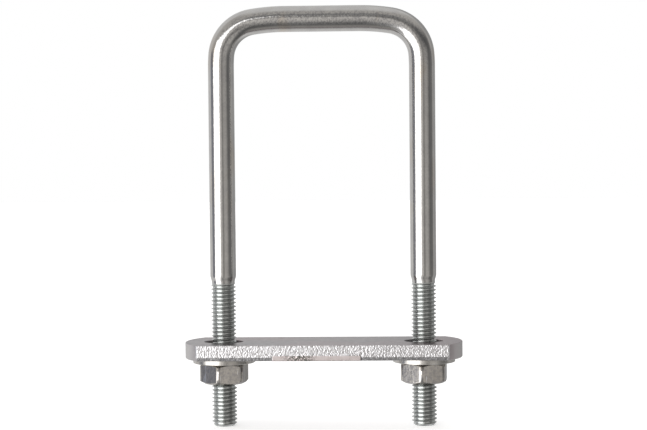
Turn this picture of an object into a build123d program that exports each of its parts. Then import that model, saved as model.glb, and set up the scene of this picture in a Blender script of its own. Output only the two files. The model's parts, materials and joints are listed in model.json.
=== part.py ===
from build123d import *
import os
from math import cos, radians, sin, sqrt, tan

# Square-bend U-bolt with its clamp plate, two flat washers and two hex nuts.
# The origin is the centre of the plate's clamp face, midway between the legs.
# +Z runs up the legs to the top bar, and +X runs along the plate. Millimetres and degrees.

# U-bolt
bar_diameter = 10.0
leg_spacing = 77.0  # centre to centre
bar_top_height = 128.7  # clamp face to the outside of the top bar
leg_drop = 32.5  # clamp face to the leg ends
leg_bend_radius = 60.0  # each corner is three tangent arcs on the bar's centreline
leg_bend_angle = 4.5
corner_bend_radius = 14.0
top_bend_radius = 80.0
top_bend_angle = 9.0
thread_length = 55.5
thread_pitch = 1.5
thread_step = 0.15  # how far the thread crests lie inside the bar's surface

# Clamp plate
plate_width = 30.0
plate_thickness = 6.0
plate_end_radius = 22.0
plate_end_land = 7.35  # metal between a slot and the rounded end
slot_end_clearance = 2.5  # bar to slot end, along the plate
slot_side_clearance = 0.5  # bar to slot side

# Washers and nuts
washer_diameter = 24.0
washer_thickness = 2.0
washer_hole_clearance = 0.65  # radial, over the thread
washer_edge_break = 0.25
nut_across_flats = 17.0
nut_height = 8.0
nut_running_clearance = 0.05  # radial, over the thread
nut_corner_chamfer_angle = 30.0
nut_face_share = 0.95  # round end face over the width across flats
nut_countersink = 0.6
left_nut_turn = 20.7  # how far one corner of each nut lies from +X
right_nut_turn = 23.5

# Derived from the sizes above
bar_radius = bar_diameter / 2
thread_radius = bar_radius - thread_step
end_chamfer = 0.8 * thread_pitch
runout_length = 0.8 * thread_pitch
plate_underside = -plate_thickness
washer_underside = plate_underside - washer_thickness
nut_underside = washer_underside - nut_height
leg_side = {"left": -1, "right": 1}


def revolved(profile):
    """A solid of revolution about Z from (radius, height) points."""
    face = make_face(Plane.XZ * Polyline(*profile, close=True))
    return revolve(face, Axis.Z)


def on_leg(solid, side):
    """Places a solid made on the Z axis on the left or the right leg."""
    return Pos(leg_side[side] * leg_spacing / 2, 0, 0) * solid


def threaded_end():
    """The leg's thread at its crest diameter, with an end chamfer and a cone up to the full bar."""
    bottom = -leg_drop
    top = bottom + thread_length
    return revolved(
        [
            (0, bottom),
            (thread_radius - end_chamfer, bottom),
            (thread_radius, bottom + end_chamfer),
            (thread_radius, top - runout_length),
            (bar_radius, top),
            (0, top),
        ]
    )


def corner_reach():
    """How far the three arcs of a corner run sideways and upwards."""
    first = radians(leg_bend_angle)
    last = radians(90 - top_bend_angle)
    across = (
        leg_bend_radius * (1 - cos(first))
        + corner_bend_radius * (cos(first) - cos(last))
        + top_bend_radius * cos(last)
    )
    up = (
        leg_bend_radius * sin(first)
        + corner_bend_radius * (sin(last) - sin(first))
        + top_bend_radius * (1 - sin(last))
    )
    return across, up


def right_centreline():
    """From the thread's end up the right leg, round the corner and along to the middle of the top bar."""
    leg_x = leg_spacing / 2
    across, up = corner_reach()
    straight_top = bar_top_height - bar_radius - up
    main_angle = 90 - leg_bend_angle - top_bend_angle
    leg = Line((leg_x, thread_length - leg_drop), (leg_x, straight_top))
    lower = JernArc(leg @ 1, leg % 1, leg_bend_radius, leg_bend_angle)
    corner = JernArc(lower @ 1, lower % 1, corner_bend_radius, main_angle)
    upper = JernArc(corner @ 1, corner % 1, top_bend_radius, top_bend_angle)
    top = Line(upper @ 1, (0, (upper @ 1).Y))
    return Plane.XZ * Curve([leg, lower, corner, upper, top])


def u_bolt():
    path = right_centreline()
    section = Plane(path @ 0, z_dir=path % 0) * Circle(bar_radius)
    half = sweep(section, path=path) + on_leg(threaded_end(), "right")
    return half + mirror(half, about=Plane.YZ)


def plate_outline():
    """A strip whose two ends are arcs that bulge outwards."""
    slot_length = bar_diameter + 2 * slot_end_clearance
    half_length = leg_spacing / 2 + slot_length / 2 + plate_end_land
    half_width = plate_width / 2
    end_bulge = plate_end_radius - (plate_end_radius**2 - half_width**2) ** 0.5
    corner_x = half_length - end_bulge
    front = Line((-corner_x, -half_width), (corner_x, -half_width))
    right = ThreePointArc((corner_x, -half_width), (half_length, 0), (corner_x, half_width))
    back = Line((corner_x, half_width), (-corner_x, half_width))
    left = ThreePointArc((-corner_x, half_width), (-half_length, 0), (-corner_x, -half_width))
    return make_face([front, right, back, left])


def clamp_plate():
    slot_width = bar_diameter + 2 * slot_side_clearance
    slot_length = bar_diameter + 2 * slot_end_clearance
    outline = plate_outline()
    for side in leg_side:
        outline -= on_leg(SlotOverall(slot_length, slot_width), side)
    return extrude(outline, -plate_thickness)


def washer(side):
    inner = thread_radius + washer_hole_clearance
    outer = washer_diameter / 2
    edge = washer_edge_break
    ring = revolved(
        [
            (inner, washer_underside),
            (outer - edge, washer_underside),
            (outer, washer_underside + edge),
            (outer, plate_underside - edge),
            (outer - edge, plate_underside),
            (inner, plate_underside),
        ]
    )
    return on_leg(ring, side)


def nut_body_of_revolution():
    """The round form that trims a nut's corners at both faces, with the bore and its countersinks left out."""
    bore = thread_radius + nut_running_clearance
    mouth = bore + nut_countersink
    face = nut_face_share * nut_across_flats / 2
    reach = nut_across_flats / sqrt(3) + nut_countersink  # past the hexagon's corners
    drop = (reach - face) * tan(radians(nut_corner_chamfer_angle))
    top = washer_underside
    bottom = nut_underside
    return revolved(
        [
            (bore, bottom + nut_countersink),
            (mouth, bottom),
            (face, bottom),
            (reach, bottom + drop),
            (reach, top - drop),
            (face, top),
            (mouth, top),
            (bore, top - nut_countersink),
        ]
    )


def hex_nut(side, turn):
    hexagon = RegularPolygon(nut_across_flats / 2, 6, major_radius=False, rotation=turn)
    prism = Pos(0, 0, nut_underside) * extrude(hexagon, nut_height)
    return on_leg(prism & nut_body_of_revolution(), side)


nodes = {
    "u_bolt": u_bolt(),
    "clamp_plate": clamp_plate(),
    "left_washer": washer("left"),
    "right_washer": washer("right"),
    "left_nut": hex_nut("left", left_nut_turn),
    "right_nut": hex_nut("right", right_nut_turn),
}

os.makedirs("parts", exist_ok=True)
for name, solid in nodes.items():
    export_step(solid, f"parts/{name}.step")
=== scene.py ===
import json
from math import asin, atan2, cos, pi, radians, sin, sqrt, tan

import bmesh
import bpy
import numpy as np
from mathutils import Matrix, Vector, noise


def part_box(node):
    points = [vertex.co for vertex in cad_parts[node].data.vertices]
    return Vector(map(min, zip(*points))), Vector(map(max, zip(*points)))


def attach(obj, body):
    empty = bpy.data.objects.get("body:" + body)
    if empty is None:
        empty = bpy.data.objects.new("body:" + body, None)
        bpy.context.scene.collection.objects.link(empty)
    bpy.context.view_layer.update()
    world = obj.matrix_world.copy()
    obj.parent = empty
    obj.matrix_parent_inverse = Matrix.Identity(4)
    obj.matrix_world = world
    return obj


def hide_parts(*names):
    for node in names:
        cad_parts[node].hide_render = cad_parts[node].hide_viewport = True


# A zinc-plated square-bend U-bolt with its clamp plate, washers and nuts, in a white studio.
# Metres throughout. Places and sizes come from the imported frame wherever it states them.

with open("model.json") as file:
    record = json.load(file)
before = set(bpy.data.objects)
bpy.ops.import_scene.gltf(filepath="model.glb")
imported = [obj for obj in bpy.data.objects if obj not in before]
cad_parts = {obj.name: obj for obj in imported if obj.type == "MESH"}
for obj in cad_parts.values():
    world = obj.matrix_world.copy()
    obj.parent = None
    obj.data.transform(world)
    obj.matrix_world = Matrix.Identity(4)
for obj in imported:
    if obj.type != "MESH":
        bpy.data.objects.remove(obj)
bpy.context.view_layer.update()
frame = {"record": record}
MM = 0.001

# ---------------------------------------------------------------- sizes from the frame
bolt_low, bolt_high = (Vector(corner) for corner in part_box("u_bolt"))
plate_low, plate_high = (Vector(corner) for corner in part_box("clamp_plate"))
mounts = {mount["name"]: mount for mount in frame["record"]["mounts"]}

BAR_RADIUS = (bolt_high.y - bolt_low.y) / 2
LEG_X = bolt_high.x - BAR_RADIUS
TOP_Z = bolt_high.z - BAR_RADIUS
LEG_END_Z = bolt_low.z
THREAD_RADIUS = mounts["left_thread_end"]["dims"]["r_mm"] * MM
PLATE_THICKNESS = plate_high.z - plate_low.z
SIDES = {"left": -1, "right": 1}

# ---------------------------------------------------------------- the U-bolt's other sizes
THREAD_PITCH = 1.5 * MM
THREAD_TOP_Z = 23.0 * MM
THREAD_DEPTH = 0.52 * THREAD_PITCH  # rolled shallow, with full round roots
CREST_HALF = 0.05  # half the crest's flat, in pitches
ROOT_ROUNDNESS = 4  # how quickly the flank falls away into the broad root
END_CHAMFER = 0.8 * THREAD_PITCH
BLANK_RADIUS = 4.45 * MM  # the bar narrows to this just above the thread
NECK = 2.6 * MM  # how far up the leg it takes to reach its full width again
RUNOUT = 1.2 * THREAD_PITCH  # how far down the leg the thread takes to reach its full depth
BAR_WAVE = 0.02 * MM  # how uneven the drawn bar's surface is
BAR_WAVE_SCALE = 160.0  # noise units to the metre
SHANK_RADIUS = BAR_RADIUS - BAR_WAVE / 2
BENDS = (  # radius and angle of each corner's three arcs, from the leg to the top bar
    (60.0 * MM, radians(4.5)),
    (14.0 * MM, radians(76.5)),
    (80.0 * MM, radians(9.0)),
)

# ---------------------------------------------------------------- the nuts' and washers' other sizes
NUT_ACROSS_FLATS = 17.0 * MM
NUT_CORNER_ROUND = 1.0 * MM
NUT_CHAMFER = radians(30)
NUT_CHAMFER_REACH = 1.1 * MM  # the chamfer ends within this height of each face
NUT_EDGE_BLEND = 0.15 * MM  # how softly the chamfer meets the sides
NUT_FACE_SHARE = 0.90  # the round face's width as a share of the width across flats
NUT_THREAD_GAP = 0.08 * MM
NUT_THREAD_SHARE = 0.85  # how deep the nut's thread is, as a share of the leg's
NUT_MOUTH = 0.6 * MM  # how far the countersunk mouth opens out
NUT_TURN = {"left": radians(20.7), "right": radians(23.5)}
HALF_FACE = pi / 6  # half the angle that one side of a hexagon spans

WASHER_HOLE = 11.0 * MM
WASHER_ROLL = 0.35 * MM  # how far the edges towards the plate are rolled over
WASHER_BURR = 0.12 * MM  # how far the edges towards the nut are broken
WASHER_RIM_MIDDLE = 0.45  # where the rim's middle ring stands, as a share of the thickness
WASHER_HOLE_EDGE = 0.3  # how far in the hole's rolled edge stands half way round, in rolls
WASHER_RIM = 0.9  # the uneven rim begins at this share of the radius
WASHER_WAVE = 0.04 * MM  # how uneven it is
WASHER_WAVE_SCALE = 2.5  # noise units to the rim's radius
WASHER_SEED = 7.0

# ---------------------------------------------------------------- the plate's other sizes
PLATE_END_RADIUS = 22.0 * MM
SLOT_LENGTH = 15.0 * MM
SLOT_WIDTH = 11.0 * MM
SLOT_ROLL = 0.25 * MM  # how far the slots' edges are rolled over
TOP_ROLL = 0.2 * MM  # how far the plate's upper and lower edges are rolled over
BOTTOM_ROLL = 0.35 * MM

# The long faces are sheared: torn grain over most of the height, and under it a lip that leans in.
TORN_DEPTH = 0.23 * MM
TORN_LEVEL = 0.35  # the grain's middle depth, as a share of TORN_DEPTH
TORN_WAVES = (  # lean, width, height and share of the depth
    (0.55, 0.34 * MM, 0.9 * MM, 0.38),  # strokes leaning one way
    (-0.45, 0.42 * MM, 1.0 * MM, 0.30),  # strokes leaning the other way
    (0.0, 1.8 * MM, 1.5 * MM, 0.08),  # a slow swell
)
TORN_START = 0.35 * MM  # below the top face, where the grain has come to its full depth
TORN_BASE = 0.02 * MM
RAGGED_WAVES = (  # length and reach of the waves in the line where the grain ends
    (1.2 * MM, 0.15 * MM),
    (0.45 * MM, 0.25 * MM),
)
FACE_SEEDS = {"front": 5.0, "back": 25.0}
SCAR_SEED = 9.0
SEAM = 0.2 * MM  # how softly one kind of surface gives way to the next
LIP_TOP = 4.5 * MM  # below the top face
LIP_LEAN = 0.50 * MM
LIP_CALM = 0.6  # how much of the grain's depth is lost on the lip
LIP_RAGGED = 0.2  # how far the lip's start follows the ragged line

# A smooth rubbed patch lies low on each sheared face, left of centre, and a few scars lie in it.
BURNISH_TOP = 4.0 * MM
BURNISH_HALF = 16.6 * MM
BURNISH_MIDDLE = 2.2 * MM  # left of centre, looking at the face
BURNISH_END = 0.13 * MM  # how softly the patch ends
BURNISH_CALM = 0.85  # how much of the lip's lean is lost in the patch
SCAR_MIDDLE = 8.5 * MM  # left of centre, looking at the face
SCAR_HALF = 7.5 * MM
SCAR_CORE = 0.4  # the share of that half in which scars are at their fullest
SCAR_GRAIN = 0.9 * MM
SCAR_CONTRAST = 2

# The rounded ends are smoother, and take up the sheared faces' depth near their corners.
END_BLEND = 5.0 * MM
END_TORN = 0.3  # how much of the grain's depth they take up
END_STRIAE = 0.03 * MM
END_STRIA_SIZES = (0.5 * MM, 2.0 * MM, 6.0 * MM)  # along Y, X and Z

# ---------------------------------------------------------------- how finely each surface is meshed
THREAD_STEP = THREAD_PITCH / 20
SHANK_STEP = 0.8 * MM
BAR_SEGMENTS = 96
NUT_FLAT_POINTS = 24
NUT_CORNER_POINTS = 14
NUT_CHAMFER_RINGS = 15
NUT_BORE_RINGS = 108
WASHER_SEGMENTS = 160
WASHER_ROLL_STEPS = 6
PLATE_STEP = 0.13 * MM
PLATE_END_STEP = 1.5 * PLATE_STEP
PLATE_WALL_RINGS = 42
SLOT_WALL_RINGS = 6
SLOT_SEGMENTS = 96
ROLL_STEPS = 5
FLAT_NORMAL = 0.999  # a plate face as level as this is shaded flat
SPLIT_ANGLE = radians(40)  # a washer's edge sharper than this is shaded crisp


# ---------------------------------------------------------------- mesh helpers
def smooth_step(low, high, value):
    """0 at low and 1 at high, with a smooth change between. Low may be the greater of the two."""
    t = np.clip((value - low) / (high - low), 0, 1)
    return t * t * (3 - 2 * t)


def new_piece(name, verts, faces, material, rims=()):
    """A smooth mesh object with one material and outward faces, capped across each group of rims."""
    mesh = bpy.data.meshes.new(name)
    mesh.from_pydata([tuple(v) for v in verts], [], faces)
    work = bmesh.new()
    work.from_mesh(mesh)
    work.verts.ensure_lookup_table()
    for group in rims:
        edges = []
        for rim in group:
            for a, b in zip(rim, [*rim[1:], rim[0]]):
                edges.append(work.edges.get((work.verts[a], work.verts[b])))
        bmesh.ops.triangle_fill(work, use_beauty=True, edges=edges)
    bmesh.ops.recalc_face_normals(work, faces=work.faces)
    work.to_mesh(mesh)
    work.free()
    mesh.polygons.foreach_set("use_smooth", [True] * len(mesh.polygons))
    mesh.materials.append(material)
    piece = bpy.data.objects.new(name, mesh)
    bpy.context.scene.collection.objects.link(piece)
    return piece


def ring_faces(rings, segments, first=0, closed=False):
    """Quads between successive rings of vertices, and from the last to the first where closed."""
    quads = []
    for i in range(rings if closed else rings - 1):
        here = first + i * segments
        there = first + ((i + 1) % rings) * segments
        for j in range(segments):
            k = (j + 1) % segments
            quads.append((here + j, here + k, there + k, there + j))
    return quads


# ---------------------------------------------------------------- the screw thread
def thread_drop(angle, height, depth):
    """How far the thread's surface lies inside its crest, for a right-hand thread about +Z."""
    turns = (height - THREAD_PITCH * angle / (2 * pi)) / THREAD_PITCH
    off_crest = np.abs(turns - np.round(turns))
    down_flank = np.clip((off_crest - CREST_HALF) / (0.5 - CREST_HALF), 0, 1)
    return depth * (1 - (1 - down_flank) ** ROOT_ROUNDNESS)


def leg_radius(angle, height):
    """The leg's surface radius: neck, thread run-out, thread and end chamfer."""
    if height > THREAD_TOP_Z:
        neck = smooth_step(THREAD_TOP_Z, THREAD_TOP_Z + NECK, height)
        return BLANK_RADIUS + (SHANK_RADIUS - BLANK_RADIUS) * neck
    full = 1 - smooth_step(THREAD_TOP_Z - RUNOUT, THREAD_TOP_Z, height)
    threaded = THREAD_RADIUS - thread_drop(angle, height, THREAD_DEPTH)
    chamfer = THREAD_RADIUS - END_CHAMFER + (height - LEG_END_Z)
    return min(BLANK_RADIUS + (threaded - BLANK_RADIUS) * full, chamfer)


# ---------------------------------------------------------------- the U-bolt
def outward(heading):
    """The bar's outward direction in the XZ plane, where its run has turned this far from +Z to -X."""
    return Vector((cos(heading), 0, sin(heading)))


def bend_rise():
    """How far the three arcs of a corner climb from the straight leg to the top bar."""
    rise = 0
    heading = 0
    for radius, turn in BENDS:
        rise += radius * (sin(heading + turn) - sin(heading))
        heading += turn
    return rise


def right_half():
    """Stations (centre, heading, threaded) from the right leg's end to the middle of the top bar."""
    stations = []
    shank_start_z = THREAD_TOP_Z + NECK
    threaded_rings = int((shank_start_z - LEG_END_Z) / THREAD_STEP)
    for i in range(threaded_rings + 1):
        stations.append((Vector((LEG_X, 0, LEG_END_Z + i * THREAD_STEP)), 0.0, True))
    bend_start_z = TOP_Z - bend_rise()
    shank_rings = int((bend_start_z - shank_start_z) / SHANK_STEP)
    for i in range(1, shank_rings + 1):
        height = shank_start_z + (bend_start_z - shank_start_z) * i / shank_rings
        stations.append((Vector((LEG_X, 0, height)), 0.0, False))
    heading = 0.0
    for radius, turn in BENDS:
        centre = stations[-1][0] - radius * outward(heading)
        steps = max(2, int(radius * turn / SHANK_STEP))
        for i in range(1, steps + 1):
            angle = heading + turn * i / steps
            stations.append((centre + radius * outward(angle), angle, False))
        heading += turn
    start_x = stations[-1][0].x
    top_rings = int(start_x / SHANK_STEP)
    for i in range(1, top_rings + 1):
        stations.append((Vector((start_x * (1 - i / top_rings), 0, TOP_Z)), heading, False))
    return stations


def bar_ring(centre, heading, threaded):
    """One ring of the bar's surface about its centreline."""
    ring = []
    across = outward(heading)
    for j in range(BAR_SEGMENTS):
        turn = 2 * pi * j / BAR_SEGMENTS
        direction = cos(turn) * across + sin(turn) * Vector((0, 1, 0))
        if threaded:
            about_leg = turn if centre.x > 0 else pi - turn
            radius = float(leg_radius(about_leg, centre.z))
        else:
            wave = noise.noise((centre + BAR_RADIUS * direction) * BAR_WAVE_SCALE)
            radius = BAR_RADIUS - BAR_WAVE * (0.5 + 0.5 * wave)
        ring.append(centre + radius * direction)
    return ring


def u_bolt(material):
    """The bar: the right half's stations and their mirror image, skinned and closed at both ends."""
    half = right_half()
    mirrored = [(Vector((-c.x, 0, c.z)), pi - h, t) for c, h, t in reversed(half[:-1])]
    rings = [bar_ring(*station) for station in half + mirrored]
    verts = [v for ring in rings for v in ring]
    faces = ring_faces(len(rings), BAR_SEGMENTS)
    for ring_index in (0, len(rings) - 1):
        start = ring_index * BAR_SEGMENTS
        hub = len(verts)
        verts.append(sum(rings[ring_index], Vector()) / BAR_SEGMENTS)
        for j in range(BAR_SEGMENTS):
            faces.append((start + j, start + (j + 1) % BAR_SEGMENTS, hub))
    piece = new_piece("bent_bar", verts, faces, material)
    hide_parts("u_bolt")
    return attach(piece, "u_bolt")


# ---------------------------------------------------------------- nuts
def flat_end_angle():
    """The angle from the middle of a flat to where it meets a rounded corner."""
    inner = NUT_ACROSS_FLATS / 2
    return atan2((inner - NUT_CORNER_ROUND) * tan(HALF_FACE), inner)


def hexagon_angles():
    """Angles from the middle of one flat: evenly spaced on the flats, closer on the rounded corners."""
    edge = flat_end_angle()
    corner = HALF_FACE - edge
    flat = np.linspace(-edge, edge, NUT_FLAT_POINTS)
    rounded = HALF_FACE + np.linspace(-corner, corner, NUT_CORNER_POINTS)[1:-1]
    sector = np.concatenate([flat, rounded])
    return np.concatenate([sector + k * pi / 3 for k in range(6)])


def hexagon_radius(angles):
    """Polar radius of a hexagon with rounded corners, from angles measured off the middle of a flat."""
    inner = NUT_ACROSS_FLATS / 2
    off_flat = np.abs((angles + HALF_FACE) % (2 * HALF_FACE) - HALF_FACE)
    hub = (inner - NUT_CORNER_ROUND) / cos(HALF_FACE)
    off_corner = HALF_FACE - off_flat
    arc = hub * np.cos(off_corner)
    arc = arc + np.sqrt(np.maximum(NUT_CORNER_ROUND**2 - (hub * np.sin(off_corner)) ** 2, 0))
    return np.where(off_flat <= flat_end_angle(), inner / np.cos(off_flat), arc)


def soft_min(a, b, blend):
    """The lesser of two lengths, rounded off where they cross."""
    h = np.clip(0.5 + 0.5 * (b - a) / blend, 0, 1)
    return b + (a - b) * h - blend * h * (1 - h)


def nut_rings(side, angles, hexagon):
    """(radii, height) up the nut's sides and back down its bore."""
    low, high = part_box(f"{side}_nut")
    face_radius = NUT_FACE_SHARE * NUT_ACROSS_FLATS / 2
    chamfer_zone = np.linspace(0, NUT_CHAMFER_REACH, NUT_CHAMFER_RINGS)
    rings = []
    for height in np.concatenate([low.z + chamfer_zone, high.z - chamfer_zone[::-1]]):
        from_face = min(height - low.z, high.z - height)
        cone = face_radius + from_face / tan(NUT_CHAMFER)
        rings.append((soft_min(hexagon, cone, NUT_EDGE_BLEND), height))
    crest = THREAD_RADIUS + NUT_THREAD_GAP
    for height in np.linspace(high.z, low.z, NUT_BORE_RINGS):
        from_face = min(height - low.z, high.z - height)
        bore = crest - thread_drop(angles, height, NUT_THREAD_SHARE * THREAD_DEPTH)
        rings.append((np.maximum(bore, crest + NUT_MOUTH - from_face), height))
    return rings


def nut(side, material):
    """A hex nut with rounded corners, 30 degree chamfers, countersunk mouths and an internal thread."""
    leg = Vector((SIDES[side] * LEG_X, 0, 0))
    from_flat = hexagon_angles()
    angles = from_flat + NUT_TURN[side] - HALF_FACE
    rings = nut_rings(side, angles, hexagon_radius(from_flat))
    verts = []
    for radii, height in rings:
        for angle, radius in zip(angles, radii):
            verts.append(leg + Vector((radius * cos(angle), radius * sin(angle), height)))
    faces = ring_faces(len(rings), len(angles), closed=True)
    piece = new_piece(f"{side}_hex_nut", verts, faces, material)
    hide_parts(f"{side}_nut")
    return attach(piece, f"{side}_nut")


# ---------------------------------------------------------------- washers
def washer_profile(inner, outer, low_z, high_z):
    """(radius, height) round the washer's section: broken edges below and rolled ones above."""
    roll = WASHER_ROLL
    burr = WASHER_BURR
    profile = [(inner + burr, low_z), (outer - burr, low_z), (outer, low_z + burr)]
    profile.append((outer, low_z + WASHER_RIM_MIDDLE * (high_z - low_z)))
    for i in range(WASHER_ROLL_STEPS + 1):
        turn = pi / 2 * i / WASHER_ROLL_STEPS
        profile.append((outer - roll + roll * cos(turn), high_z - roll + roll * sin(turn)))
    profile.append((inner + roll, high_z))
    profile.append((inner + WASHER_HOLE_EDGE * roll, high_z - WASHER_HOLE_EDGE * roll))
    profile += [(inner, high_z - roll), (inner, low_z + burr)]
    return profile


def washer(side, material):
    """A blanked flat washer: a rolled edge towards the plate and a slight burr towards the nut."""
    low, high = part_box(f"{side}_washer")
    outer = (high.x - low.x) / 2
    profile = washer_profile(WASHER_HOLE / 2, outer, low.z, high.z)
    leg = Vector((SIDES[side] * LEG_X, 0, 0))
    seed = Vector((0, 0, SIDES[side] * WASHER_SEED))
    verts = []
    for radius, height in profile:
        for j in range(WASHER_SEGMENTS):
            turn = 2 * pi * j / WASHER_SEGMENTS
            around = Vector((cos(turn), sin(turn), 0))
            wave = noise.noise(around * WASHER_WAVE_SCALE + seed)
            edge = WASHER_WAVE * (wave - 1) if radius > WASHER_RIM * outer else 0
            verts.append(leg + (radius + edge) * around + Vector((0, 0, height)))
    faces = ring_faces(len(profile), WASHER_SEGMENTS, closed=True)
    piece = new_piece(f"{side}_flat_washer", verts, faces, material)
    piece.modifiers.new("crisp", "EDGE_SPLIT").split_angle = SPLIT_ANGLE
    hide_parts(f"{side}_washer")
    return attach(piece, f"{side}_washer")


# ---------------------------------------------------------------- the clamp plate
def line_points(start, end, step):
    """Points from the start to just short of the end, about a step apart."""
    count = max(1, int((end - start).length / step))
    return [start.lerp(end, i / count) for i in range(count)]


def plate_outline():
    """(point, outward direction, sheared) round the plate, anticlockwise from the front left corner."""
    half_length = plate_high.x
    half_width = plate_high.y
    bulge = PLATE_END_RADIUS - sqrt(PLATE_END_RADIUS**2 - half_width**2)
    corner_x = half_length - bulge
    sweep = asin(half_width / PLATE_END_RADIUS)
    outline = []
    for sign in (-1, 1):
        start = Vector((sign * corner_x, sign * half_width, 0))
        end = Vector((-sign * corner_x, sign * half_width, 0))
        for point in line_points(start, end, PLATE_STEP):
            outline.append((point, Vector((0, sign, 0)), True))
        hub = Vector((-sign * (half_length - PLATE_END_RADIUS), 0, 0))
        steps = int(2 * sweep * PLATE_END_RADIUS / PLATE_END_STEP)
        for i in range(steps):
            angle = -sweep + 2 * sweep * i / steps
            away = Vector((-sign * cos(angle), -sign * sin(angle), 0))
            outline.append((hub + PLATE_END_RADIUS * away, away, False))
    return outline


def slot_outline(side):
    """(point, direction into the metal) round one slot."""
    leg_x = SIDES[side] * LEG_X
    end_offset = (SLOT_LENGTH - SLOT_WIDTH) / 2
    outline = []
    for i in range(SLOT_SEGMENTS):
        turn = 2 * pi * (i + 0.5) / SLOT_SEGMENTS
        into = Vector((cos(turn), sin(turn), 0))
        shift = end_offset if into.x > 0 else -end_offset
        outline.append((Vector((leg_x + shift, 0, 0)) + SLOT_WIDTH / 2 * into, into))
    return outline


def torn_depth(x, z, seed):
    """How deep a sheared face lies at this place: short strokes leaning both ways, on a slow swell."""
    depth = TORN_LEVEL
    for index, (lean, width, height, share) in enumerate(TORN_WAVES):
        place = Vector(((x + lean * z) / width, z / height, seed + 3 * index))
        depth += share * noise.noise(place)
    return max(0.0, depth * TORN_DEPTH)


def ragged_line(x, seed):
    """How far the line where the grain ends wanders up or down, at this place along the face."""
    shift = 0
    for index, (length, reach) in enumerate(RAGGED_WAVES):
        shift += reach * noise.noise(Vector((x / length, seed, 0.5 + 0.4 * index)))
    return shift


def lip_lean(down, ragged=0.0):
    """How far the lip leans in, this far below the top face."""
    below = down - LIP_TOP - LIP_RAGGED * ragged
    return LIP_LEAN * max(0.0, below / (PLATE_THICKNESS - LIP_TOP))


def end_inset(point, height):
    """How far a rounded end lies inside the outline: faint striae, and more near its corners."""
    sizes = END_STRIA_SIZES
    striae = noise.noise(Vector((point.y / sizes[0], point.x / sizes[1], height / sizes[2])))
    from_corner = (plate_high.y - abs(point.y)) / END_BLEND
    blend = float(smooth_step(1.0, 0.0, from_corner))
    taken_up = END_TORN * TORN_DEPTH + lip_lean(plate_high.z - height)
    return END_STRIAE * (1 + striae) + blend * taken_up


def sheared_inset(x, face, height):
    """How far a sheared face lies inside the outline: torn grain, a rubbed patch, scars and the lip."""
    seed = FACE_SEEDS[face]
    to_right = x if face == "front" else -x
    down = plate_high.z - height
    ragged = ragged_line(x, seed)
    from_middle = abs(to_right + BURNISH_MIDDLE)
    in_patch = float(smooth_step(BURNISH_HALF + BURNISH_END, BURNISH_HALF, from_middle))
    rubbed = in_patch * float(smooth_step(BURNISH_TOP - SEAM, BURNISH_TOP, down + ragged))
    near_scar = float(smooth_step(SCAR_HALF, SCAR_CORE * SCAR_HALF, abs(to_right + SCAR_MIDDLE)))
    chips = noise.noise(Vector((x / SCAR_GRAIN, height / SCAR_GRAIN, seed + SCAR_SEED)))
    rubbed *= 1 - near_scar * max(0.0, min(1.0, 0.5 + SCAR_CONTRAST * chips))
    on_lip = float(smooth_step(LIP_TOP - SEAM, LIP_TOP + SEAM / 2, down + ragged))
    torn = torn_depth(x, height, seed) * float(smooth_step(0.0, TORN_START, down))
    torn *= 1 - LIP_CALM * on_lip
    lean = lip_lean(down, ragged) * (1 - BURNISH_CALM * in_patch)
    return TORN_BASE + torn * (1 - rubbed) + lean


def roll_levels(top_roll, bottom_roll, wall_rings):
    """(height, inset) down one of the plate's walls, with both edges rolled over."""
    levels = []
    for i in range(ROLL_STEPS):
        turn = pi / 2 * i / ROLL_STEPS
        levels.append((plate_high.z - top_roll * (1 - cos(turn)), top_roll * (1 - sin(turn))))
    straight = PLATE_THICKNESS - top_roll - bottom_roll
    for i in range(wall_rings + 1):
        levels.append((plate_high.z - top_roll - straight * i / wall_rings, 0.0))
    for i in range(1, ROLL_STEPS + 1):
        turn = pi / 2 * i / ROLL_STEPS
        levels.append((plate_low.z + bottom_roll * (1 - sin(turn)), bottom_roll * (1 - cos(turn))))
    return levels


def outer_wall():
    """Rings of points down the plate's outer wall."""
    outline = plate_outline()
    rings = []
    for height, inset in roll_levels(TOP_ROLL, BOTTOM_ROLL, PLATE_WALL_RINGS):
        ring = []
        for point, away, sheared in outline:
            face = "front" if away.y < 0 else "back"
            rough = sheared_inset(point.x, face, height) if sheared else end_inset(point, height)
            ring.append(point - (inset + rough) * away + Vector((0, 0, height)))
        rings.append(ring)
    return rings


def slot_wall(side):
    """Rings of points down one slot's wall."""
    outline = slot_outline(side)
    rings = []
    for height, inset in roll_levels(SLOT_ROLL, SLOT_ROLL, SLOT_WALL_RINGS):
        rings.append([point + inset * into + Vector((0, 0, height)) for point, into in outline])
    return rings


def clamp_plate(material):
    """The plate: its outer wall and two slots, with an upper and a lower face across their rims."""
    verts = []
    faces = []
    upper_rims = []
    lower_rims = []
    for rings in (outer_wall(), *(slot_wall(side) for side in SIDES)):
        first = len(verts)
        count = len(rings[0])
        verts += [point for ring in rings for point in ring]
        faces += ring_faces(len(rings), count, first)
        upper_rims.append(range(first, first + count))
        lower_rims.append(range(len(verts) - count, len(verts)))
    piece = new_piece("slotted_plate", verts, faces, material, (upper_rims, lower_rims))
    for face in piece.data.polygons:
        face.use_smooth = abs(face.normal.z) < FLAT_NORMAL
    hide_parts("clamp_plate")
    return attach(piece, "clamp_plate")


# ---------------------------------------------------------------- colours
# Each pair of shades is mottled together.
BAR_SHADES = ((0.50, 0.49, 0.475), (0.46, 0.45, 0.44))
THREAD_COLOUR = (0.46, 0.475, 0.465)
STAIN_COLOUR = (0.47, 0.41, 0.34)
PIT_COLOUR = (0.16, 0.158, 0.175)

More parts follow.
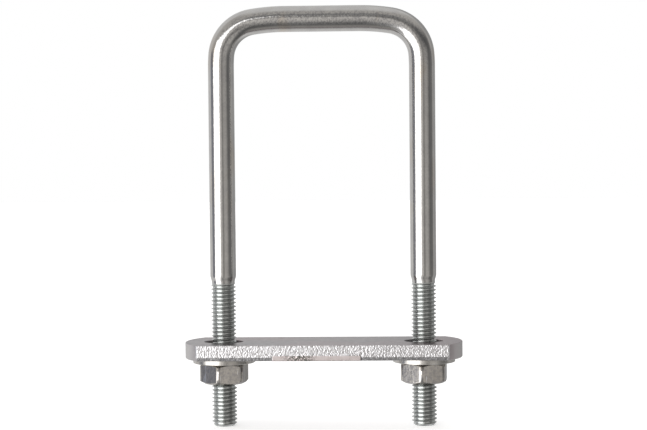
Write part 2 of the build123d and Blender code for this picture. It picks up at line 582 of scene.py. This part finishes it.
PLATE_SHADES = ((0.46, 0.435, 0.44), (0.40, 0.385, 0.395))
ROSY_COLOUR = (0.47, 0.40, 0.41)
END_COLOUR = (0.68, 0.665, 0.655)
TORN_SHADES = ((0.72, 0.71, 0.72), (0.53, 0.52, 0.53))
# The lip's grit, with painted shade: these tones darken the band that leans in under each sheared face.
LIP_GRIT_AND_SHADE = ((0.52, 0.51, 0.515), (0.26, 0.255, 0.26))
RUBBED_COLOUR = (0.66, 0.595, 0.59)
# Painted shade: a dark stripe along the step at each end of the rubbed patch.
PATCH_END_SHADE_COLOUR = (0.14, 0.14, 0.135)
SCAR_COLOUR = (0.12, 0.12, 0.105)

WASHER_SHADES = ((0.55, 0.535, 0.51), (0.47, 0.45, 0.425))

NUT_SHADES = ((0.545, 0.515, 0.475), (0.475, 0.45, 0.42))
SPECK_COLOUR = (0.27, 0.27, 0.30)
SCUFF_COLOUR = (0.86, 0.86, 0.88)
DIE_LINE_COLOUR = (0.33, 0.31, 0.28)

PAPER_SHADES = ((0.93, 0.93, 0.925), (0.90, 0.90, 0.90))
WHITE = (1.0, 1.0, 1.0)

# ---------------------------------------------------------------- shader nodes
FIRST_COLOUR = 6  # where a mix node keeps its two colours and their mixture
SECOND_COLOUR = 7
MIXED_COLOUR = 2


class Nodes:
    """Short calls for the nodes that a material or the studio is made of."""

    def __init__(self, tree):
        self.tree = tree

    def add(self, kind, **settings):
        made = self.tree.nodes.new(kind)
        for name, value in settings.items():
            setattr(made, name, value)
        return made

    def feed(self, socket, value):
        """Link another node's output to a socket, or give the socket a plain value."""
        if isinstance(value, bpy.types.NodeSocket):
            self.tree.links.new(value, socket)
        else:
            socket.default_value = value

    def calc(self, operation, *values):
        made = self.add("ShaderNodeMath", operation=operation)
        for socket, value in zip(made.inputs, values):
            self.feed(socket, value)
        return made.outputs["Value"]

    def product(self, first, *others):
        for other in others:
            first = self.calc("MULTIPLY", first, other)
        return first

    def spread(self, value, low, high, before=0.0, after=1.0):
        """A smooth change from one amount to another while the value goes from low to high."""
        made = self.add("ShaderNodeMapRange", interpolation_type="SMOOTHSTEP")
        for socket, number in zip(made.inputs, (value, low, high, before, after)):
            self.feed(socket, number)
        return made.outputs["Result"]

    def between(self, amount, first, second):
        """A colour between two, by an amount from 0 to 1."""
        made = self.add("ShaderNodeMix", data_type="RGBA")
        self.feed(made.inputs["Factor"], amount)
        for index, colour in ((FIRST_COLOUR, first), (SECOND_COLOUR, second)):
            plain = not isinstance(colour, bpy.types.NodeSocket)
            self.feed(made.inputs[index], (*colour, 1) if plain else colour)
        return made.outputs[MIXED_COLOUR]


class Finish(Nodes):
    """One procedural metal or paper, whose noise is fixed to the piece."""

    def __init__(self, name, metallic=1.0, rim=1.0):
        """The rim is how bright the metal stays where it is seen edge on."""
        self.material = bpy.data.materials.new(name)
        self.material.use_nodes = True
        super().__init__(self.material.node_tree)
        self.shader = self.tree.nodes["Principled BSDF"]
        self.shader.inputs["Metallic"].default_value = metallic
        self.shader.inputs["Specular Tint"].default_value = (rim, rim, rim, 1)
        self.place = self.add("ShaderNodeTexCoord").outputs["Object"]

    def axis(self, name):
        made = self.add("ShaderNodeSeparateXYZ")
        self.feed(made.inputs["Vector"], self.place)
        return made.outputs[name]

    def grain(self, feature, detail=2.0, stretch=(1, 1, 1), rough=0.5):
        """Noise with features about this many metres across, and longer where stretch is below 1."""
        scaled = self.add("ShaderNodeMapping")
        self.feed(scaled.inputs["Vector"], self.place)
        scaled.inputs["Scale"].default_value = stretch
        made = self.add("ShaderNodeTexNoise")
        self.feed(made.inputs["Vector"], scaled.outputs["Vector"])
        made.inputs["Scale"].default_value = 0.5 / feature
        made.inputs["Detail"].default_value = detail
        made.inputs["Roughness"].default_value = rough
        return made.outputs["Fac"]

    def patches(self, feature, low, high, before=0.0, after=1.0, **grain):
        """Noise as patches: one amount where it is under low, another where it is over high."""
        return self.spread(self.grain(feature, **grain), low, high, before, after)

    def mottled(self, shades, feature, low=0.35, high=0.65, **grain):
        """Two shades in patches about this many metres across."""
        return self.between(self.patches(feature, low, high, **grain), *shades)

    def bump(self, height, distance, below=None):
        made = self.add("ShaderNodeBump")
        self.feed(made.inputs["Height"], height)
        made.inputs["Distance"].default_value = distance
        if below is not None:
            self.feed(made.inputs["Normal"], below)
        return made.outputs["Normal"]

    def set(self, **sockets):
        names = {"colour": "Base Color", "roughness": "Roughness", "normal": "Normal"}
        for name, value in sockets.items():
            self.feed(self.shader.inputs[names[name]], value)
        return self.material


# ---------------------------------------------------------------- materials
def bar_finish():
    """Bright zinc on drawn bar: faint drawing lines, fine pits, duller and darker round the top."""
    finish = Finish("bright zinc bar", rim=0.9)
    height = finish.axis("Z")
    dull_start = TOP_Z - 22 * MM
    dull_full = TOP_Z - 4 * MM
    on_top = finish.spread(height, dull_start, dull_full)
    thread_full = THREAD_TOP_Z - 1.4 * MM
    thread_end = THREAD_TOP_Z + 0.2 * MM
    on_thread = finish.spread(height, thread_full, thread_end, before=1.0, after=0.0)
    clean = finish.mottled(BAR_SHADES, 2.6 * MM, detail=3)
    stains = finish.patches(5.0 * MM, 0.56, 0.70, after=0.45, detail=3, stretch=(1, 1, 0.35))
    colour = finish.between(stains, clean, STAIN_COLOUR)
    off_centre = finish.calc("ABSOLUTE", finish.axis("Y"))
    flank_start = 3.9 * MM
    flank_full = 4.6 * MM
    on_flank = finish.spread(off_centre, flank_start, flank_full, before=0.08)
    pitted = finish.product(on_flank, finish.calc("MULTIPLY_ADD", on_top, 0.8, 0.2))
    pits = finish.patches(0.40 * MM, 0.44, 0.62, after=0.44, detail=2, rough=0.7)
    colour = finish.between(finish.product(pits, pitted), colour, PIT_COLOUR)
    colour = finish.between(on_thread, colour, THREAD_COLOUR)
    smooth = finish.patches(1.1 * MM, 0.3, 0.75, before=0.085, after=0.15, detail=3)
    rougher_thread = finish.product(on_thread, 0.13)
    roughness = finish.calc("ADD", smooth, rougher_thread)
    orange_peel = finish.grain(0.40 * MM, detail=2, rough=0.6)
    orange_peel = finish.product(orange_peel, finish.calc("MULTIPLY_ADD", on_top, 0.3, 0.7))
    relief = finish.bump(orange_peel, 0.025 * MM)
    drawing_lines = finish.grain(0.5 * MM, detail=2, stretch=(1, 1, 0.03))
    relief = finish.bump(drawing_lines, 0.006 * MM, relief)
    return finish.set(colour=colour, roughness=roughness, normal=relief)


def sheared_marks(finish, colour, on_edge):
    """The sheared faces' colour with the rubbed patch, painted shade along its ends, its scars, and the
    gritty lip painted darker as shade.
    """
    height = finish.axis("Z")
    facing = finish.product(finish.calc("SIGN", finish.axis("Y")), -1.0)
    to_right = finish.product(finish.axis("X"), facing)
    off_middle = finish.calc("ABSOLUTE", finish.calc("ADD", to_right, BURNISH_MIDDLE))
    patch_full = -BURNISH_TOP - SEAM / 2
    patch_end = -BURNISH_TOP + SEAM / 2
    low_down = finish.spread(height, patch_full, patch_end, before=1.0, after=0.0)
    in_patch = finish.spread(off_middle, BURNISH_HALF, BURNISH_HALF + SEAM, before=1.0, after=0.0)
    rubbed = finish.product(in_patch, low_down, on_edge)
    colour = finish.between(rubbed, colour, RUBBED_COLOUR)
    # painted shade: a narrow dark stripe along the step at each end of the rubbed patch
    patch_end_shade = finish.calc("COMPARE", off_middle, BURNISH_HALF + SEAM, SEAM)
    colour = finish.between(finish.product(patch_end_shade, low_down, on_edge), colour, PATCH_END_SHADE_COLOUR)
    off_scar = finish.calc("ABSOLUTE", finish.calc("ADD", to_right, SCAR_MIDDLE))
    scar_full = 2.0 * MM
    near_scar = finish.spread(off_scar, scar_full, SCAR_HALF, before=1.0, after=0.0)
    scars = finish.product(near_scar, rubbed, finish.patches(0.3 * MM, 0.42, 0.56, detail=3))
    colour = finish.between(scars, colour, SCAR_COLOUR)
    # Grit and painted shade: below LIP_TOP the sheared face is mixed towards darker mottled tones where
    # the lip leans in.
    lip_full = -LIP_TOP - 0.3 * MM
    lip_end = -LIP_TOP + 0.1 * MM
    lip = finish.spread(height, lip_full, lip_end, before=0.7, after=0.0)
    lip = finish.product(lip, on_edge, finish.calc("SUBTRACT", 1.0, rubbed))
    lip_grit_and_shade = finish.mottled(LIP_GRIT_AND_SHADE, 0.4 * MM, 0.38, 0.62, detail=2)
    return finish.between(lip, colour, lip_grit_and_shade)


def plate_finish():
    """Dull zinc on hot-rolled flat: satin faces with a rosy cast, bright ends and torn sheared edges."""
    finish = Finish("zinc plate", rim=0.69)
    rim_full = -0.10 * MM
    rim_end = -0.03 * MM
    below_rim = finish.spread(finish.axis("Z"), rim_full, rim_end, before=1.0, after=0.0)
    off_centre = finish.calc("ABSOLUTE", finish.axis("Y"))
    edge_start = plate_high.y - 0.9 * MM
    edge_full = plate_high.y - 0.7 * MM
    on_edge = finish.product(finish.spread(off_centre, edge_start, edge_full), below_rim)
    flat = finish.mottled(PLATE_SHADES, 3.0 * MM, 0.3, 0.7, detail=4)
    rosy = finish.patches(16 * MM, 0.45, 0.6, after=0.5, detail=1)
    flat = finish.between(rosy, flat, ROSY_COLOUR)
    end_start = LEG_X + 9 * MM
    end_full = LEG_X + 14 * MM
    near_end = finish.spread(finish.calc("ABSOLUTE", finish.axis("X")), end_start, end_full, after=0.8)
    flat = finish.between(finish.product(near_end, below_rim), flat, END_COLOUR)
    torn = finish.mottled(TORN_SHADES, 0.35 * MM, detail=2)
    colour = sheared_marks(finish, finish.between(on_edge, flat, torn), on_edge)
    smooth = finish.patches(1.0 * MM, 0.3, 0.7, before=0.30, after=0.40, detail=3)
    roughness = finish.calc("MULTIPLY_ADD", on_edge, -0.06, smooth)  # the edges shine a little more
    relief = finish.bump(finish.grain(0.25 * MM, detail=3), 0.006 * MM)
    return finish.set(colour=colour, roughness=roughness, normal=relief)


def washer_finish():
    """Bright zinc on a blanked washer."""
    finish = Finish("zinc washer", rim=0.8)
    colour = finish.mottled(WASHER_SHADES, 1.5 * MM, detail=3)
    roughness = finish.patches(0.6 * MM, 0.3, 0.7, before=0.20, after=0.32, detail=3)
    relief = finish.bump(finish.grain(0.4 * MM, detail=2), 0.008 * MM)
    return finish.set(colour=colour, roughness=roughness, normal=relief)


def nut_finish():
    """Bright zinc on a cold-formed nut: upright die lines, dark specks and small bright scuffs."""
    finish = Finish("zinc nut", rim=0.65)
    colour = finish.mottled(NUT_SHADES, 1.8 * MM, detail=3)
    specks = finish.patches(0.45 * MM, 0.40, 0.62, after=0.38, detail=2, rough=0.6)
    colour = finish.between(specks, colour, SPECK_COLOUR)
    scuffs = finish.patches(0.6 * MM, 0.62, 0.68, after=0.7, detail=3, stretch=(1, 1, 0.12), rough=0.6)
    colour = finish.between(scuffs, colour, SCUFF_COLOUR)
    die_lines = finish.patches(0.55 * MM, 0.42, 0.62, after=0.22, detail=2, stretch=(1, 1, 0.03))
    colour = finish.between(die_lines, colour, DIE_LINE_COLOUR)
    roughness = finish.patches(0.7 * MM, 0.3, 0.7, before=0.10, after=0.17, detail=3)
    relief = finish.bump(finish.grain(0.30 * MM, detail=2, stretch=(1, 1, 0.05)), 0.008 * MM)
    relief = finish.bump(finish.grain(0.5 * MM, detail=2), 0.010 * MM, relief)
    return finish.set(colour=colour, roughness=roughness, normal=relief)


def floor_finish():
    """White seamless paper with a glow of its own, so that it stays plain."""
    finish = Finish("studio floor", metallic=0.0)
    colour = finish.between(finish.grain(1.2 * MM, detail=2), *PAPER_SHADES)
    finish.shader.inputs["Emission Color"].default_value = (*WHITE, 1)
    finish.shader.inputs["Emission Strength"].default_value = FLOOR_GLOW
    return finish.set(colour=colour, roughness=0.8)


# ---------------------------------------------------------------- the studio
FLOOR_GLOW = 0.5
FLOOR_SIZE = 6.0
FLOOR_STEPS = 8
ROOM_LEVEL = 0.92
NEUTRAL = (1.0, 1.0, 1.0)
WARM = (1.03, 1.0, 0.965)
COOL = (0.93, 0.965, 1.09)
# What stands round the object, in degrees: azimuth to the camera's right, its half width, how soft
# the edges are, height, half height, then brightness, lean (azimuth gained per degree up) and tint.
# A later card stands in front of an earlier one.
CARDS = (
    ("shade by the floor", 0, 300, 14, -90, 18, 0.54, 0, NEUTRAL),
    ("grey under the ceiling", 7, 100, 16, 35, 35, 0.62, 0, WARM),
    ("dim end of the room", 19, 86, 8, -40, 50, 0.39, 0, WARM),
    ("dark floor in front", 32, 60, 13, -46, 21.5, 0.17, 0, NEUTRAL),
    ("dark gap on the right", 44, 46, 14, 13, 22, 0.18, 0, NEUTRAL),
    ("dark gap far right", 83, 11, 8, -12, 22, 0.24, 0, NEUTRAL),
    ("greyer wall behind on the right", 142, 36, 14, 5, 45, 0.50, 0, NEUTRAL),
    ("grey card on the right", 27, 26, 14, -16, 24, 0.63, 0, WARM),
    ("gap beside the lens", 13, 6, 5, -5, 26, 0.36, 0, WARM),
    ("gap over the lens", 2, 20, 6, 31, 8, 0.36, 0, NEUTRAL),
    ("white strip by the lens", -10, 13, 5, -15, 23, 0.84, 0.24, WARM),
    ("glow under the softbox", -37, 26, 14, -38, 18, 0.85, 0, NEUTRAL),
    ("dark gap on the left", -85, 14, 4, -5, 16, 0.36, 0, COOL),
    ("softbox", -40, 27, 3, -10, 32, 3.0, 0.31, NEUTRAL),
)


def studio():
    """A white room seen by the camera, and its cards, dark gaps and softbox seen by the metal."""
    world = bpy.data.worlds.new("studio")
    bpy.context.scene.world = world
    world.use_nodes = True
    world.node_tree.nodes.clear()
    nodes = Nodes(world.node_tree)

    def within(angle, centre, half, soft):
        """1 within half of the centre, falling to 0 across a soft edge."""
        off = nodes.calc("ABSOLUTE", nodes.calc("SUBTRACT", angle, centre))
        return nodes.spread(off, half - soft, half + soft, before=1.0, after=0.0)

    direction = nodes.add("ShaderNodeSeparateXYZ")
    nodes.feed(direction.inputs["Vector"], nodes.add("ShaderNodeTexCoord").outputs["Generated"])
    x, y, z = direction.outputs
    azimuth = nodes.calc("DEGREES", nodes.calc("ARCTAN2", x, nodes.product(y, -1.0)))
    elevation = nodes.calc("DEGREES", nodes.calc("ARCSINE", z))
    seen = (ROOM_LEVEL, ROOM_LEVEL, ROOM_LEVEL)
    for _, across, half_width, soft, up, half_height, level, lean, tint in CARDS:
        upright = nodes.calc("MULTIPLY_ADD", elevation, -lean, azimuth)
        beside = within(upright, across, half_width, soft)
        covered = nodes.product(beside, within(elevation, up, half_height, soft))
        seen = nodes.between(covered, seen, tuple(level * part for part in tint))
    by_camera = nodes.add("ShaderNodeLightPath").outputs["Is Camera Ray"]
    background = nodes.add("ShaderNodeBackground")
    nodes.feed(background.inputs["Color"], nodes.between(by_camera, seen, WHITE))
    output = nodes.add("ShaderNodeOutputWorld")
    nodes.feed(output.inputs["Surface"], background.outputs["Background"])


def floor():
    """A broad white floor that the legs stand on, left out of the metal's reflections."""
    row = FLOOR_STEPS + 1
    places = [(i / FLOOR_STEPS - 0.5) * FLOOR_SIZE for i in range(row)]
    verts = [(x, y, LEG_END_Z) for x in places for y in places]
    faces = []
    for i in range(FLOOR_STEPS):
        for j in range(FLOOR_STEPS):
            corner = i * row + j
            faces.append((corner, corner + row, corner + row + 1, corner + 1))
    piece = new_piece("studio_floor", verts, faces, floor_finish())
    if piece.data.polygons[0].normal.z < 0:
        piece.data.flip_normals()
    piece.visible_glossy = False
    piece.visible_shadow = False


# ---------------------------------------------------------------- the camera
CAMERA_YAW = radians(2.16)
CAMERA_PITCH = radians(2.12)
CAMERA_ROLL = radians(0.52)
CAMERA_DISTANCE = 650 * MM
AIM_ACROSS = -0.07 * MM
AIM_HEIGHT = 48.49 * MM
CAMERA_LENS = 93.9  # Blender takes the lens and the sensor in millimetres
CAMERA_SENSOR = 36
CAMERA_REACH = 20.0  # far enough to see all of the floor


def camera():
    """A camera in front, turned a little about each axis and looking slightly down."""
    yaw = Matrix.Rotation(-CAMERA_YAW, 3, "Z")
    pitch = Matrix.Rotation(CAMERA_PITCH, 3, "X")
    roll = Matrix.Rotation(-CAMERA_ROLL, 3, "Y")
    turned = roll @ pitch @ yaw  # from the object's axes to right, forward and up
    aim = Vector((AIM_ACROSS, -CAMERA_DISTANCE, AIM_HEIGHT))
    view = bpy.data.cameras.new("photographer")
    view.sensor_width = CAMERA_SENSOR
    view.lens = CAMERA_LENS
    view.clip_end = CAMERA_REACH
    eye = bpy.data.objects.new("photographer", view)
    bpy.context.scene.collection.objects.link(eye)
    right, forward, up = turned
    axes = Matrix((right, up, -forward)).transposed()
    eye.matrix_world = Matrix.Translation(turned.transposed() @ aim) @ axes.to_4x4()
    bpy.context.scene.camera = eye


# ---------------------------------------------------------------- the picture
u_bolt(bar_finish())
clamp_plate(plate_finish())
washer_zinc = washer_finish()
nut_zinc = nut_finish()
for side in SIDES:
    washer(side, washer_zinc)
    nut(side, nut_zinc)
studio()
floor()
camera()
bpy.context.scene.view_settings.view_transform = "Standard"
